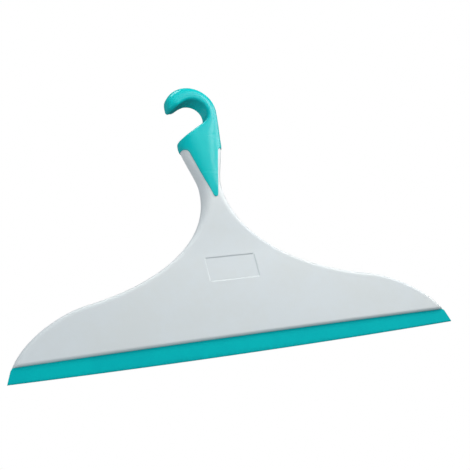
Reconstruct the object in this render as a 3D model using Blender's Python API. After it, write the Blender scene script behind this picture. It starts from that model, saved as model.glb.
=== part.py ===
"""Window cleaning squeegee: a fan-shaped white holder with a hook handle and a rubber lip.

The origin is where a peg touches the top of the hook's throat. +Z is up, +X runs along the
lip, and the front faces -Y. Heights below are measured up from the ends of the wiping edge.
"""
import math

import bmesh
import bpy
from mathutils import Vector

# Whole object
HANG_HEIGHT = 0.175
GAP = 0.0003
WELD = 0.00001
SHARP_ANGLE = 35.0

# Fan and neck, right half
FAN_BOTTOM = 0.009
FAN_HALF_WIDTH = 0.146
FAN_FOOT_HALF_WIDTH = 0.151
FAN_FOOT_HEIGHT = 0.002
SHOULDER = [(0.146, 0.009), (0.136, 0.0262), (0.112, 0.0379), (0.0968, 0.0407)]
FLANK = [(0.0968, 0.0407), (0.0475, 0.0496), (0.0075, 0.0754), (0.0075, 0.1112)]
FLARE = [(0.0075, 0.1112), (0.0075, 0.119), (0.0120, 0.126), (0.0148, 0.141)]
CURVE_STEPS = 12
FLARE_STEPS = 5
BOW = 0.0006
BOW_REACH = 0.012
JAW_SEGMENTS = 12

# Half depth and edge rounding, from the thin fan up to the round handle
FAN_HALF_DEPTH = 0.0032
HANDLE_HALF_DEPTH = 0.0066
FAN_ROUNDING = 0.0029
HANDLE_ROUNDING = 0.0063
SWELL_START = 0.062
SWELL_END = 0.112
MIN_EDGE_LAND = 0.0003
HOLDER_RINGS = [0.0004, 0.0013, 0.0026, 0.0044, 0.0063]
SWELL_ROWS = 8

# Hook and collar; arcs run from a start to an end angle in degrees, in a number of steps
THROAT_RADIUS = 0.0096
THROAT_HEIGHT = 0.1654
THROAT_ARC = (80.0, -30.0, 11)
CROWN_CENTRE = (-0.0008, 0.1672)
CROWN_RADIUS = 0.0184
CROWN_ARC = (-8.0, 145.0, 18)
CHEEK = [(-0.0159, 0.1778), (-0.0173, 0.1757), (-0.0173, 0.1730), (-0.0173, 0.1703)]
TIP_CENTRE = (-0.0153, 0.1703)
TIP_RADIUS = 0.0020
TIP_ARC = (200.0, 295.0, 4)
CHEEK_STEPS = 4
BEAK_STEPS = 6
BEAK = [(-0.01445, 0.1685), (-0.0099, 0.1706), (-0.0055, 0.1750), (0.0, 0.1750)]
SADDLE_CORNER = (-0.0150, 0.1450)
SADDLE_FILLET = (0.0062, 0.1582)
COLLAR_PROUD = 0.0005
COLLAR_BASE = 0.092
HOOK_HALF_DEPTH = 0.0066
HOOK_ROUNDING = 0.0042
GRIP_RINGS = [0.0001, 0.0004, 0.0009, 0.0016]
GRIP_GRID = 0.0026
HOOK_BLEND_START = 0.143
HOOK_BLEND_END = 0.160
SKIN = 0.0020
CORE_END = 122.0
CORE_END_GAP = 1.3
CORE_STEPS = 14

# Pointed tongue of the grip, front and back, and the windows beside it
TONGUE_TIP_HEIGHT = 0.1023
TONGUE_TIP_RADIUS = 0.0016
TONGUE_TIP_STEPS = 5
TONGUE_TOP = (0.0100, 0.1340)
WINDOW_HEIGHT = 0.1385
WINDOW_RADIUS = 0.0040
WINDOW_STEPS = 6
RIM_HALF_WIDTH = 0.030

# Blank panel on the front
PANEL_WIDTH = 0.035
PANEL_HEIGHT = 0.0166
PANEL_CENTRE_HEIGHT = 0.054
PANEL_DEPTH = 0.0005

# Rear cover and the hollow it closes
COVER_BOTTOM = 0.0195
COVER_TOP = 0.0600
COVER_INSET = 0.006
COVER_THICKNESS = 0.0018
LEDGE = 0.003
POINT_SPACING = 0.001
FRONT_WALL = 0.0018
RIB_THICKNESS = 0.0016
RIB_PLACES = [-0.108, -0.057, 0.0, 0.057, 0.108]
BOSS_PLACES = [(-0.084, 0.0275), (-0.030, 0.0400), (0.030, 0.0400), (0.084, 0.0275)]
BOSS_RADIUS = 0.0036
BOSS_SIDES = 24
PIN_RADIUS = 0.0015
PIN_SIDES = 12
PIN_LENGTH = 0.0017

# Rubber: root held in the jaw, and the lip that flexes below it
GROOVE_HALF_LENGTH = 0.136
GROOVE_CENTRE_HEIGHT = 0.0140
BEAD_RADIUS = 0.0018
BEAD_STEPS = 14
WEB_HALF_THICKNESS = 0.0010
LIP_AXIS_HEIGHT = 0.0075
LIP_TOP_HALF_THICKNESS = 0.0012
LIP_TOP_STEPS = 8
LIP_EDGE_HALF_THICKNESS = 0.0006
LIP_EDGE_CHAMFER = 0.0008
LIP_EDGE_HALF_WIDTH = 0.150
LIP_BELLY = 0.0015
LIP_STATIONS = 28

# Colours and surface roughness
WHITE = (0.79, 0.82, 0.85, 1.0)
TURQUOISE = (0.0, 0.46, 0.46, 1.0)
HOLDER_ROUGHNESS = 0.42
COVER_ROUGHNESS = 0.45
GRIP_ROUGHNESS = 0.28
RUBBER_ROUGHNESS = 0.6


def clear_scene():
    """Remove everything so that the script can be run again."""
    for obj in list(bpy.data.objects):
        bpy.data.objects.remove(obj, do_unlink=True)


def up(height):
    """Scene Z of a height above the ends of the wiping edge."""
    return height - HANG_HEIGHT


def material(name, colour, roughness):
    """A plain plastic or rubber material."""
    mat = bpy.data.materials.new(name)
    mat.use_nodes = True
    shader = mat.node_tree.nodes["Principled BSDF"]
    shader.inputs["Base Color"].default_value = colour
    shader.inputs["Roughness"].default_value = roughness
    shader.inputs["Metallic"].default_value = 0.0
    return mat


def add_object(name, bm, mat=None):
    """Link a finished mesh to the scene; one without a material is a cutter."""
    bmesh.ops.recalc_face_normals(bm, faces=bm.faces)
    mesh = bpy.data.meshes.new(name)
    bm.to_mesh(mesh)
    bm.free()
    obj = bpy.data.objects.new(name, mesh)
    bpy.context.scene.collection.objects.link(obj)
    if mat is None:
        obj.hide_render = True
        obj.display_type = "WIRE"
    else:
        mesh.materials.append(mat)
        mesh.shade_smooth()
        mesh.set_sharp_from_angle(angle=math.radians(SHARP_ANGLE))
    return obj


def boolean(target, other, operation, solver="EXACT"):
    """Add a Boolean modifier to the target."""
    modifier = target.modifiers.new(other.name, "BOOLEAN")
    modifier.operation = operation
    modifier.object = other
    modifier.solver = solver


def bezier(points, steps):
    """Points along a cubic Bezier curve, without its first point."""
    path = []
    for step in range(1, steps + 1):
        t = step / steps
        s = 1.0 - t
        weights = (s ** 3, 3 * s * s * t, 3 * s * t * t, t ** 3)
        path.append(tuple(sum(w * p[i] for w, p in zip(weights, points)) for i in (0, 1)))
    return path


def arc(centre, radius, start, end, steps):
    """Points on an arc from start to end degrees, both ends included."""
    path = []
    for step in range(steps + 1):
        angle = math.radians(start + (end - start) * step / steps)
        path.append((centre[0] + radius * math.cos(angle), centre[1] + radius * math.sin(angle)))
    return path


def circle(centre, radius, sides):
    """Points round a full circle."""
    return arc(centre, radius, 0.0, 360.0, sides)[:-1]


def mirrored(half):
    """Close a right-hand half outline, bottom to top, with its mirror image."""
    return half + [(-x, z) for x, z in reversed(half)]


def moved_in(path, distance):
    """A right-hand path, bottom to top, moved square to itself towards the middle."""
    shifted = []
    for index, (x, z) in enumerate(path):
        before = path[max(0, index - 1)]
        after = path[min(len(path) - 1, index + 1)]
        run = (after[0] - before[0], after[1] - before[1])
        scale = distance / math.hypot(*run)
        shifted.append((x - run[1] * scale, z + run[0] * scale))
    return shifted


def level_point(low, high, height):
    """The point at a height on the line between two points."""
    share = (height - low[1]) / (high[1] - low[1])
    return (low[0] + (high[0] - low[0]) * share, height)


def smooth_step(value, start, end):
    """Ease from 0 at start to 1 at end."""
    t = min(1.0, max(0.0, (value - start) / (end - start)))
    return t * t * (3.0 - 2.0 * t)


def quarter_round(inward):
    """Rise of a quarter round, 0 at its edge and 1 from its full width inwards."""
    return math.sqrt(1.0 - (1.0 - min(1.0, inward)) ** 2)


def body_half_depth(height):
    """Half depth of the white holder at a height."""
    swell = smooth_step(height, SWELL_START, SWELL_END)
    return FAN_HALF_DEPTH + (HANDLE_HALF_DEPTH - FAN_HALF_DEPTH) * swell


def body_rounding(height):
    """Width of the rounded edge of the white holder at a height."""
    swell = smooth_step(height, SWELL_START, SWELL_END)
    return FAN_ROUNDING + (HANDLE_ROUNDING - FAN_ROUNDING) * swell


def grip_half_depth(height):
    """Half depth of the grip: proud of the handle, then the hook's own depth."""
    blend = smooth_step(height, HOOK_BLEND_START, HOOK_BLEND_END)
    collar = body_half_depth(height) + COLLAR_PROUD
    return collar + (HOOK_HALF_DEPTH - collar) * blend


def grip_rounding(height):
    """Width of the rounded edge of the grip at a height."""
    blend = smooth_step(height, HOOK_BLEND_START, HOOK_BLEND_END)
    collar = body_rounding(height) + COLLAR_PROUD
    return collar + (HOOK_ROUNDING - collar) * blend


def fan_flank():
    """Right-hand edge of the holder, from its lower corner up to the collar."""
    sweep = bezier(SHOULDER, CURVE_STEPS) + bezier(FLANK, CURVE_STEPS)
    return [SHOULDER[0]] + sweep + bezier(FLARE, FLARE_STEPS)


def holder_outline():
    """Front view of the holder; its foot runs on below the jaw and is cut off later."""
    return mirrored([(FAN_FOOT_HALF_WIDTH, FAN_FOOT_HEIGHT)] + fan_flank())


def grip_side(skin):
    """Right-hand side of the grip below the hook, drawn in by a skin thickness."""
    path = [point for point in fan_flank() if point[1] >= COLLAR_BASE]
    return moved_in(path, skin - COLLAR_PROUD)


def grip_outline():
    """Front view of the grip: handle sides, saddle, throat, tip and crown."""
    sides = grip_side(0.0)
    crown = arc(CROWN_CENTRE, CROWN_RADIUS, *CROWN_ARC)
    tip = bezier(CHEEK, CHEEK_STEPS) + arc(TIP_CENTRE, TIP_RADIUS, *TIP_ARC)
    throat = bezier(BEAK, BEAK_STEPS) + arc((0.0, THROAT_HEIGHT), THROAT_RADIUS, *THROAT_ARC)
    left = [(-x, z) for x, z in reversed(sides)]
    return sides + crown + tip + throat + [SADDLE_FILLET, SADDLE_CORNER] + left


def core_outline(skin, end):
    """Front view of the hard core: the grip's shape less its skin, stopping short of the tip."""
    sides = grip_side(skin)
    crown = arc(CROWN_CENTRE, CROWN_RADIUS - skin, CROWN_ARC[0], end, CORE_STEPS)
    throat = arc((0.0, THROAT_HEIGHT), THROAT_RADIUS + skin, end, THROAT_ARC[1], CORE_STEPS)
    slope = (SADDLE_FILLET[0] - SADDLE_CORNER[0], SADDLE_FILLET[1] - SADDLE_CORNER[1])
    scale = skin / math.hypot(*slope)
    drop = (slope[1] * scale, -slope[0] * scale)
    fillet = (SADDLE_FILLET[0] + drop[0], SADDLE_FILLET[1] + drop[1])
    corner = (SADDLE_CORNER[0] + skin + drop[0], SADDLE_CORNER[1] + drop[1])
    left = [(-x, z) for x, z in reversed(sides)]
    return sides + crown + throat + [fillet, corner] + left


def tongue_half(grow):
    """Right-hand edge of the grip's lower rim, from the tongue's tip out past the side."""
    rise = TONGUE_TOP[1] - TONGUE_TIP_HEIGHT
    lean = math.degrees(math.atan2(TONGUE_TOP[0], rise))
    tip_centre = (0.0, TONGUE_TIP_HEIGHT + TONGUE_TIP_RADIUS)
    tip = arc(tip_centre, TONGUE_TIP_RADIUS + grow, -90.0, -lean, TONGUE_TIP_STEPS)
    window_centre = (TONGUE_TOP[0] + WINDOW_RADIUS, WINDOW_HEIGHT - WINDOW_RADIUS)
    window = arc(window_centre, WINDOW_RADIUS - grow, 180.0 - lean, 90.0, WINDOW_STEPS)
    return tip + window + [(RIM_HALF_WIDTH, WINDOW_HEIGHT - grow)]


def grip_region(grow):
    """Outline, in front view, of all that lies above the grip's lower rim."""
    right = tongue_half(grow)
    top = (right[-1][0], HANG_HEIGHT + 2 * CROWN_RADIUS)
    half = right + [top]
    return half + [(-x, z) for x, z in reversed(half[1:])]


def flat_face(bm, outline, y):
    """One flat face in the XZ plane, facing -Y."""
    face = bm.faces.new([bm.verts.new((x, y, up(z))) for x, z in outline])
    bm.normal_update()
    if face.normal.y > 0.0:
        face.normal_flip()
    return face


def prism(outline, front, back):
    """A straight extrusion of a front-view outline from y = front to y = back."""
    bm = bmesh.new()
    face = flat_face(bm, outline, front)
    side = bmesh.ops.extrude_face_region(bm, geom=[face])["geom"]
    moved = [item for item in side if isinstance(item, bmesh.types.BMVert)]
    bmesh.ops.translate(bm, verts=moved, vec=(0.0, back - front, 0.0))
    return bm


def box(x0, x1, y0, y1, z0, z1):
    """An upright box between two heights."""
    return prism([(x0, z0), (x1, z0), (x1, z1), (x0, z1)], y0, y1)


def inset(bm, face, width):
    """Move a face's edge inwards by a width."""
    bmesh.ops.inset_region(bm, faces=[face], thickness=width, use_even_offset=True, use_boundary=True)


def cut_flat(bm, places, axis):
    """Score a mesh straight through at places along an axis, so that it can follow a change of depth."""
    normal = Vector(axis)
    for place in places:
        geometry = list(bm.verts) + list(bm.edges) + list(bm.faces)
        bmesh.ops.bisect_plane(bm, geom=geometry, plane_co=normal * place, plane_no=normal)


def edge_distance(point, outline):
    """Distance in front view from a point to the nearest side of an outline."""
    nearest = math.inf
    for start, end in zip(outline, outline[1:] + outline[:1]):
        side = end - start
        share = min(1.0, max(0.0, (point - start).dot(side) / side.length_squared))
        nearest = min(nearest, (point - start - side * share).length)
    return nearest


def pillow(outline, half_depth, rounding, rings, rows, columns=(), drawn_in=0.0):
    """A closed solid with the given front view, rounded edges and a depth that follows height."""
    bm = bmesh.new()
    face = flat_face(bm, outline, 0.0)
    for done, target in zip([0.0] + rings, rings):
        inset(bm, face, target - done)
    cut_flat(bm, [up(row) for row in rows], (0.0, 0.0, 1.0))
    cut_flat(bm, columns, (1.0, 0.0, 0.0))
    rear = bmesh.ops.duplicate(bm, geom=list(bm.faces))["geom"]
    rear_faces = [item for item in rear if isinstance(item, bmesh.types.BMFace)]
    rear_verts = {item for item in rear if isinstance(item, bmesh.types.BMVert)}
    bmesh.ops.reverse_faces(bm, faces=rear_faces)
    flat_outline = [Vector(point) for point in outline]
    for vert in bm.verts:
        height = vert.co.z + HANG_HEIGHT
        depth = half_depth(height) - drawn_in
        width = rounding(height) - drawn_in
        land = max(MIN_EDGE_LAND, depth - width)
        inward = edge_distance(Vector((vert.co.x, height)), flat_outline) / width
        bulge = land + (depth - land) * quarter_round(inward)
        vert.co.y = bulge if vert in rear_verts else -bulge
    bmesh.ops.bridge_loops(bm, edges=[edge for edge in bm.edges if edge.is_boundary])
    return bm


def cut_foot(bm):
    """Cut the holder off level at the jaw and give the jaw its slight upward bow."""
    geometry = list(bm.verts) + list(bm.edges) + list(bm.faces)
    jaw_level = up(FAN_BOTTOM)
    bmesh.ops.bisect_plane(bm, geom=geometry, dist=WELD, plane_co=(0.0, 0.0, jaw_level),
                           plane_no=(0.0, 0.0, 1.0), clear_inner=True)
    rim = [edge for edge in bm.edges if edge.is_boundary]
    bmesh.ops.holes_fill(bm, edges=rim)
    long_edges = [edge for edge in rim if edge.calc_length() > FAN_HALF_WIDTH]
    bmesh.ops.subdivide_edges(bm, edges=long_edges, cuts=JAW_SEGMENTS - 1)
    for vert in bm.verts:
        fade = 1.0 - (vert.co.z - jaw_level) / BOW_REACH
        if fade > 0.0:
            vert.co.z += fade * BOW * (1.0 - (vert.co.x / FAN_HALF_WIDTH) ** 2)


def keyhole(web_half, bead_radius, bottom):
    """Side view (y, height) of a bead on top of an upright web."""
    reach = math.degrees(math.asin(web_half / bead_radius))
    bead = arc((0.0, GROOVE_CENTRE_HEIGHT), bead_radius, -90.0 + reach, 270.0 - reach, BEAD_STEPS)
    return [(web_half, bottom)] + bead + [(-web_half, bottom)]


def bar(profile, half_length):
    """A side-view (y, height) profile extruded along X, centred."""
    bm = bmesh.new()
    face = bm.faces.new([bm.verts.new((-half_length, y, up(z))) for y, z in profile])
    moved = [item for item in bmesh.ops.extrude_face_region(bm, geom=[face])["geom"]
             if isinstance(item, bmesh.types.BMVert)]
    bmesh.ops.translate(bm, verts=moved, vec=(2 * half_length, 0.0, 0.0))
    return bm


def panel_edge():
    """Front view of the blank panel."""
    low = PANEL_CENTRE_HEIGHT - PANEL_HEIGHT / 2
    high = PANEL_CENTRE_HEIGHT + PANEL_HEIGHT / 2
    half = PANEL_WIDTH / 2
    return [(-half, low), (half, low), (half, high), (-half, high)]


def cover_outline(margin):
    """Front view of the rear cover: the fan's edge moved in, cut level at top and bottom."""
    low = COVER_BOTTOM + margin
    high = COVER_TOP - margin
    path = moved_in(fan_flank(), COVER_INSET + margin)
    half = [level_point(a, b, low) for a, b in zip(path, path[1:]) if a[1] < low <= b[1]]
    half = half + [point for point in path if low + POINT_SPACING < point[1] < high - POINT_SPACING]
    half = half + [level_point(a, b, high) for a, b in zip(path, path[1:]) if a[1] < high <= b[1]]
    return mirrored(half)


def make_holder(mat):
    """White moulding: fan, neck, handle and the core that runs up inside the grip."""
    swell = SWELL_END - SWELL_START
    rows = [SWELL_START + swell * step / SWELL_ROWS for step in range(SWELL_ROWS + 1)]
    bm = pillow(holder_outline(), body_half_depth, body_rounding, HOLDER_RINGS, rows)
    cut_foot(bm)
    holder = add_object("holder", bm, mat)

    region = add_object("grip_seat_cutter", prism(grip_region(GAP), -HANG_HEIGHT, HANG_HEIGHT))
    boolean(holder, region, "DIFFERENCE")
    core = add_object("hook_core_shape", grip_solid(core_outline(SKIN, CORE_END), SKIN))
    boolean(holder, core, "UNION")

    groove = bar(keyhole(WEB_HALF_THICKNESS + GAP, BEAD_RADIUS + GAP, FAN_FOOT_HEIGHT), GROOVE_HALF_LENGTH)
    boolean(holder, add_object("groove_cutter", groove), "DIFFERENCE")

    seat_floor = FAN_HALF_DEPTH - COVER_THICKNESS - GAP
    seat = prism(cover_outline(0.0), seat_floor, 2 * FAN_HALF_DEPTH)
    boolean(holder, add_object("cover_seat_cutter", seat), "DIFFERENCE")
    boolean(holder, make_cavity_cutter(seat_floor), "DIFFERENCE", "MANIFOLD")

    front = -FAN_HALF_DEPTH
    panel = prism(panel_edge(), 2 * front, front + PANEL_DEPTH)
    boolean(holder, add_object("panel_cutter", panel), "DIFFERENCE", "MANIFOLD")
    return holder


def make_cavity_cutter(seat_floor):
    """The hollow behind the front wall, with the ribs and bosses left standing in it."""
    floor = -FAN_HALF_DEPTH + FRONT_WALL
    cavity = add_object("cavity_cutter", prism(cover_outline(LEDGE), floor, seat_floor + GAP))
    for index, place in enumerate(RIB_PLACES):
        rib = box(place - RIB_THICKNESS / 2, place + RIB_THICKNESS / 2,
                  2 * floor, 2 * FAN_HALF_DEPTH, 0.0, COVER_TOP)
        boolean(cavity, add_object(f"rib_shape_{index}", rib), "DIFFERENCE")
    for index, place in enumerate(BOSS_PLACES):
        boss = prism(circle(place, BOSS_RADIUS, BOSS_SIDES), 2 * floor, 2 * FAN_HALF_DEPTH)
        boolean(cavity, add_object(f"boss_shape_{index}", boss), "DIFFERENCE")
        hole_edge = circle(place, PIN_RADIUS + GAP, PIN_SIDES)
        hole = prism(hole_edge, seat_floor - PIN_LENGTH - GAP, seat_floor + GAP)
        boolean(cavity, add_object(f"pin_hole_shape_{index}", hole), "UNION")
    return cavity


def make_rear_cover(mat):
    """White plate that closes the back of the fan, with four locating pins."""
    inner = FAN_HALF_DEPTH - COVER_THICKNESS
    cover = add_object("rear_cover", prism(cover_outline(GAP), inner, FAN_HALF_DEPTH), mat)
    for index, place in enumerate(BOSS_PLACES):
        pin = prism(circle(place, PIN_RADIUS, PIN_SIDES), inner - PIN_LENGTH, inner + GAP)
        boolean(cover, add_object(f"pin_shape_{index}", pin), "UNION")
    return cover


def grip_solid(outline, skin):
    """The grip's rounded shape on an outline, drawn in from the grip's surface by a skin thickness."""
    rows = math.ceil((HANG_HEIGHT + CROWN_RADIUS - COLLAR_BASE) / GRIP_GRID)
    columns = math.ceil(CROWN_RADIUS / GRIP_GRID)
    return pillow(outline, grip_half_depth, grip_rounding, GRIP_RINGS,
                  [COLLAR_BASE + GRIP_GRID * row for row in range(1, rows)],
                  [GRIP_GRID * column for column in range(-columns, columns + 1)], skin)


def make_grip(mat):
    """Turquoise skin: hook, collar and the two pointed tongues over the handle."""
    grip = add_object("hook_grip", grip_solid(grip_outline(), 0.0), mat)
    region = add_object("grip_region_shape", prism(grip_region(0.0), -HANG_HEIGHT, HANG_HEIGHT))
    boolean(grip, region, "INTERSECT")
    thinner = SKIN - GAP
    void = add_object("grip_void_cutter", grip_solid(core_outline(thinner, CORE_END + CORE_END_GAP), thinner))
    boolean(grip, void, "DIFFERENCE")
    return grip


def make_lip_root(mat):
    """Bead and web of the rubber, held in the holder's groove."""
    profile = keyhole(WEB_HALF_THICKNESS, BEAD_RADIUS, FAN_BOTTOM)
    return add_object("lip_root", bar(profile, GROOVE_HALF_LENGTH - GAP), mat)


def lip_profile(depth):
    """Side view (y, height) of the lip where its edge lies at the given height."""
    top = arc((0.0, LIP_AXIS_HEIGHT), LIP_TOP_HALF_THICKNESS, 0.0, 180.0, LIP_TOP_STEPS)
    chamfer = depth + LIP_EDGE_CHAMFER
    half = LIP_EDGE_HALF_THICKNESS
    return top + [(-half, chamfer), (-half / 2, depth), (half / 2, depth), (half, chamfer)]


def make_wiper_lip(mat, axis):
    """The rubber lip below the jaw, widening to the wiping edge, hung on its flex axis."""
    bm = bmesh.new()
    top = LIP_AXIS_HEIGHT + LIP_TOP_HALF_THICKNESS
    ring = None
    for station in range(LIP_STATIONS + 1):
        across = 2.0 * station / LIP_STATIONS - 1.0
        depth = -LIP_BELLY * (1.0 - across ** 2)
        verts = []
        for y, height in lip_profile(depth):
            drawn_in = (LIP_EDGE_HALF_WIDTH - FAN_HALF_WIDTH) * max(0.0, height) / top
            place = (across * (LIP_EDGE_HALF_WIDTH - drawn_in), y, height - LIP_AXIS_HEIGHT)
            verts.append(bm.verts.new(place))
        loop = [bm.edges.new((verts[i], verts[i - 1])) for i in range(len(verts))]
        if ring is None:
            bm.faces.new(verts)
        else:
            bmesh.ops.bridge_loops(bm, edges=ring + loop)
        ring = loop
    bmesh.ops.contextual_create(bm, geom=ring)
    lip = add_object("wiper_lip", bm, mat)
    lip.parent = axis
    return lip


def make_lip_axis():
    """Empty on the line that the lip flexes about."""
    axis = bpy.data.objects.new("lip_axis", None)
    axis.location = (0.0, 0.0, up(LIP_AXIS_HEIGHT))
    bpy.context.scene.collection.objects.link(axis)
    return axis


def main():
    """Build every piece of the squeegee."""
    clear_scene()
    make_holder(material("white_plastic", WHITE, HOLDER_ROUGHNESS))
    make_rear_cover(material("white_cover_plastic", WHITE, COVER_ROUGHNESS))
    make_grip(material("turquoise_grip", TURQUOISE, GRIP_ROUGHNESS))
    make_lip_root(material("turquoise_root_rubber", TURQUOISE, RUBBER_ROUGHNESS))
    make_wiper_lip(material("turquoise_lip_rubber", TURQUOISE, RUBBER_ROUGHNESS), make_lip_axis())


main()
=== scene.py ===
"""Window cleaning squeegee: the visible pieces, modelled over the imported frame."""
import math

import bmesh
import bpy
from bpy.props import FloatProperty, FloatVectorProperty, PointerProperty
from mathutils import Matrix, Vector
from mathutils.bvhtree import BVHTree
from mathutils.geometry import interpolate_bezier


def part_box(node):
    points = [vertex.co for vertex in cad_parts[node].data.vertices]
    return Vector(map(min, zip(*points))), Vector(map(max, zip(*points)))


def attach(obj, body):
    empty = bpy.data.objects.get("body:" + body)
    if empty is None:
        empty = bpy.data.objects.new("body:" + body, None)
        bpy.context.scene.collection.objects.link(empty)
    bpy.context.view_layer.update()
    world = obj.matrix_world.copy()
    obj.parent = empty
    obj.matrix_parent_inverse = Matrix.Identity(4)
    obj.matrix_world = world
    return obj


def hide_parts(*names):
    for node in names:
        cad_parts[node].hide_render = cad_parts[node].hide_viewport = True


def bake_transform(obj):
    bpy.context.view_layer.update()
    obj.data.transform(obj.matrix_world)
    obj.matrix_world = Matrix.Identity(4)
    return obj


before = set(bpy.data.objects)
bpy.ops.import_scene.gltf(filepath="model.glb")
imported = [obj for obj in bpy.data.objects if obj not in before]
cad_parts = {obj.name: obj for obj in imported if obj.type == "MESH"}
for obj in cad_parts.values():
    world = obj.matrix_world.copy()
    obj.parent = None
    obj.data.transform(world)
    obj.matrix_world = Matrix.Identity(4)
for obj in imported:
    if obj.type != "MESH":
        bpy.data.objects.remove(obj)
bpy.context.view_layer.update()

bl_info = {
    "name": "Window Squeegee",
    "version": (1, 0, 0),
    "blender": (4, 5, 0),
    "location": "View3D > Sidebar > Squeegee",
    "description": "Builds the pieces of a hook-handled window cleaning squeegee",
    "category": "Add Mesh",
}

# Frame: bodies, levels and directions
HANDLE_BODY = "handle_body"
LIP_BELLY = 0.0015
EDGE_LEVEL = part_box("wiper_lip")[0][2] + LIP_BELLY
LIP_HALF_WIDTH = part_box("wiper_lip")[1][0]
FAN_HALF_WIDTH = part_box("holder")[1][0]
FAN_HALF_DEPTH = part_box("rear_cover")[1][1]
BEYOND = 0.03
UP = (0.0, 0.0, 1.0)
ACROSS = (1.0, 0.0, 0.0)

# Fan and neck, right half, as (x, height above the wiping edge)
JAW_HEIGHT = 0.009
JAW_BOW = 0.0006
JAW_SOFTNESS = 0.0016
FOOT = (0.163, -0.0202)
HANDLE_END = (0.0178, 0.157)
SHOULDER = [(0.146, 0.009), (0.136, 0.0262), (0.112, 0.0379), (0.0968, 0.0407)]
FLANK = [(0.0968, 0.0407), (0.0475, 0.0496), (0.0075, 0.0754), (0.0075, 0.1112)]
FLARE = [(0.0075, 0.1112), (0.0075, 0.119), (0.0120, 0.126), (0.0148, 0.141)]
SHOULDER_STEPS = 26
FLANK_STEPS = 46
FLARE_STEPS = 18
JAW_ROWS = [0.00003, 0.0001, 0.00024, 0.00046, 0.0008, 0.0012, 0.0016, 0.0026]
JAW_COLUMN = 0.008
JAW_BOW_REACH = 0.012

# Depth and edge rounding of the body, from the thin fan up to the round handle
HANDLE_HALF_DEPTH = 0.0066
FAN_ROUNDING = 0.0029
HANDLE_ROUNDING = 0.0063
SWELL_START = 0.062
SWELL_END = 0.112
WIDE_END = 0.138
WIDE_ROUNDING = 0.0050
EDGE_LAND = 0.0003
BODY_RINGS = [0.00006, 0.0002, 0.00045, 0.0008, 0.00125, 0.0018, 0.0024, 0.0031, 0.0041, 0.0053,
              0.0065]
BODY_ROW = 0.0016
HANDLE_COLUMN = 0.0013

# Hook and collar
THROAT_CENTRE = (0.0, 0.1654)
THROAT_RADIUS = 0.0096
THROAT_ARC = (82.0, -30.0, 34)
CROWN_CENTRE = (-0.0008, 0.1672)
CROWN_RADIUS = 0.0184
CROWN_ARC = (-8.0, 145.0, 54)
CHEEK = [(-0.0159, 0.1778), (-0.0173, 0.1757), (-0.0173, 0.1730), (-0.0173, 0.1703)]
CHEEK_STEPS = 10
TIP_CENTRE = (-0.0153, 0.1703)
TIP_RADIUS = 0.0020
TIP_ARC = (190.0, 295.0, 12)
BEAK = [(-0.01445, 0.1685), (-0.0099, 0.1706), (-0.0055, 0.1750), (0.0, 0.1750)]
BEAK_STEPS = 18
SADDLE_CORNER = (-0.0150, 0.1450)
SADDLE_BOTTOM = (0.0062, 0.1582)
SADDLE_CORNER_SOFTNESS = 0.0014
CORNER_SEGMENTS = 6
COLLAR_PROUD = 0.0005
COLLAR_BASE = 0.092
HOOK_HALF_DEPTH = 0.0066
HOOK_ROUNDING = 0.0062
HOOK_LAND = 0.0012
HOOK_INNER_ROUNDING = 0.0018
CRISP_SHARE = 0.5
HOOK_BLEND_START = 0.143
HOOK_BLEND_END = 0.160
SKIN_RINGS = [0.00008, 0.00025, 0.0005, 0.0009, 0.0014]
SKIN_GRID = 0.0008
SKIN_SEAM_SOFTNESS = 0.00035
SKIN_CLEARANCE = 0.00005
TWIN_DISTANCE = 0.00003
EVEN_REACH = 0.0020
EVEN_SHARE = 0.6
EVEN_DIRECTIONS = 12
EVEN_SHARES = (0.5, 1.0)

# Pointed tongue and the side windows of the collar
TONGUE_TIP_HEIGHT = 0.1023
TONGUE_TIP_RADIUS = 0.0016
TONGUE_TOP = (0.0100, 0.1340)
TONGUE_TIP_STEPS = 8
WINDOW_HEIGHT = 0.1385
WINDOW_RADIUS = 0.0040
WINDOW_STEPS = 16

# Rear cover, the hollow behind it, and its pins
COVER_INSET = 0.006
COVER_BOTTOM = 0.0195
COVER_TOP = 0.0600
COVER_THICKNESS = 0.0018
COVER_GAP = 0.00015
COVER_EDGE = 0.0003
COVER_EDGE_SEGMENTS = 3
LEDGE = 0.003
FRONT_WALL = 0.0018
RIB_THICKNESS = 0.0016
RIB_PLACES = [-0.108, -0.057, 0.0, 0.057, 0.108]
BOSS_PLACES = [(-0.084, 0.0275), (-0.030, 0.0400), (0.030, 0.0400), (0.084, 0.0275)]
BOSS_RADIUS = 0.0036
BOSS_SIDES = 32
PIN_RADIUS = 0.0015
PIN_LENGTH = 0.0017
PIN_SIDES = 24

# Blank panel
PANEL_CENTRE_HEIGHT = 0.054
PANEL_CORNER_SEGMENTS = 4

# Rubber strip: bead and web in the jaw, lip below it
GROOVE_HALF_LENGTH = 0.136
BEAD_HEIGHT = 0.0140
BEAD_RADIUS = 0.0018
BEAD_STEPS = 24
WEB_HALF_THICKNESS = 0.0010
GROOVE_GAP = 0.0001
LIP_TOP_HEIGHT = 0.0089
LIP_TOP_SPREAD = 0.1464
LIP_CORNER_SOFTNESS = 0.0013
LIP_STATIONS = 72
LIP_ROWS = [0.0005, 0.0012, 0.002, 0.003, 0.004, 0.005, 0.0056, 0.0062, 0.0068, 0.0074, 0.008,
            0.0084]

# Shading: sharp edges, slivers that are dropped, how far in an edge of the plastics looks worn, and how far
# up from its wiping edge the rubber's colour is darker
SHARP_ANGLE = 38.0
BODY_SHARP_ANGLE = 26.0
SLIVER_SIZE = 0.000002
BODY_WEAR_REACH = 0.0009
COVER_WEAR_REACH = 0.0006
HOOK_WEAR_REACH = 0.0007
LIP_DARKER_EDGE_REACH = 0.0008

# Camera: where it stands, and how it looks up at the squeegee
CAMERA_PLACE = (-0.2571, -0.5409, -0.3160)
CAMERA_YAW = 26.19
CAMERA_PITCH = 19.87
CAMERA_ROLL = -14.69
CAMERA_LENS = 76.2
CAMERA_CLIP = 0.01

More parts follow.
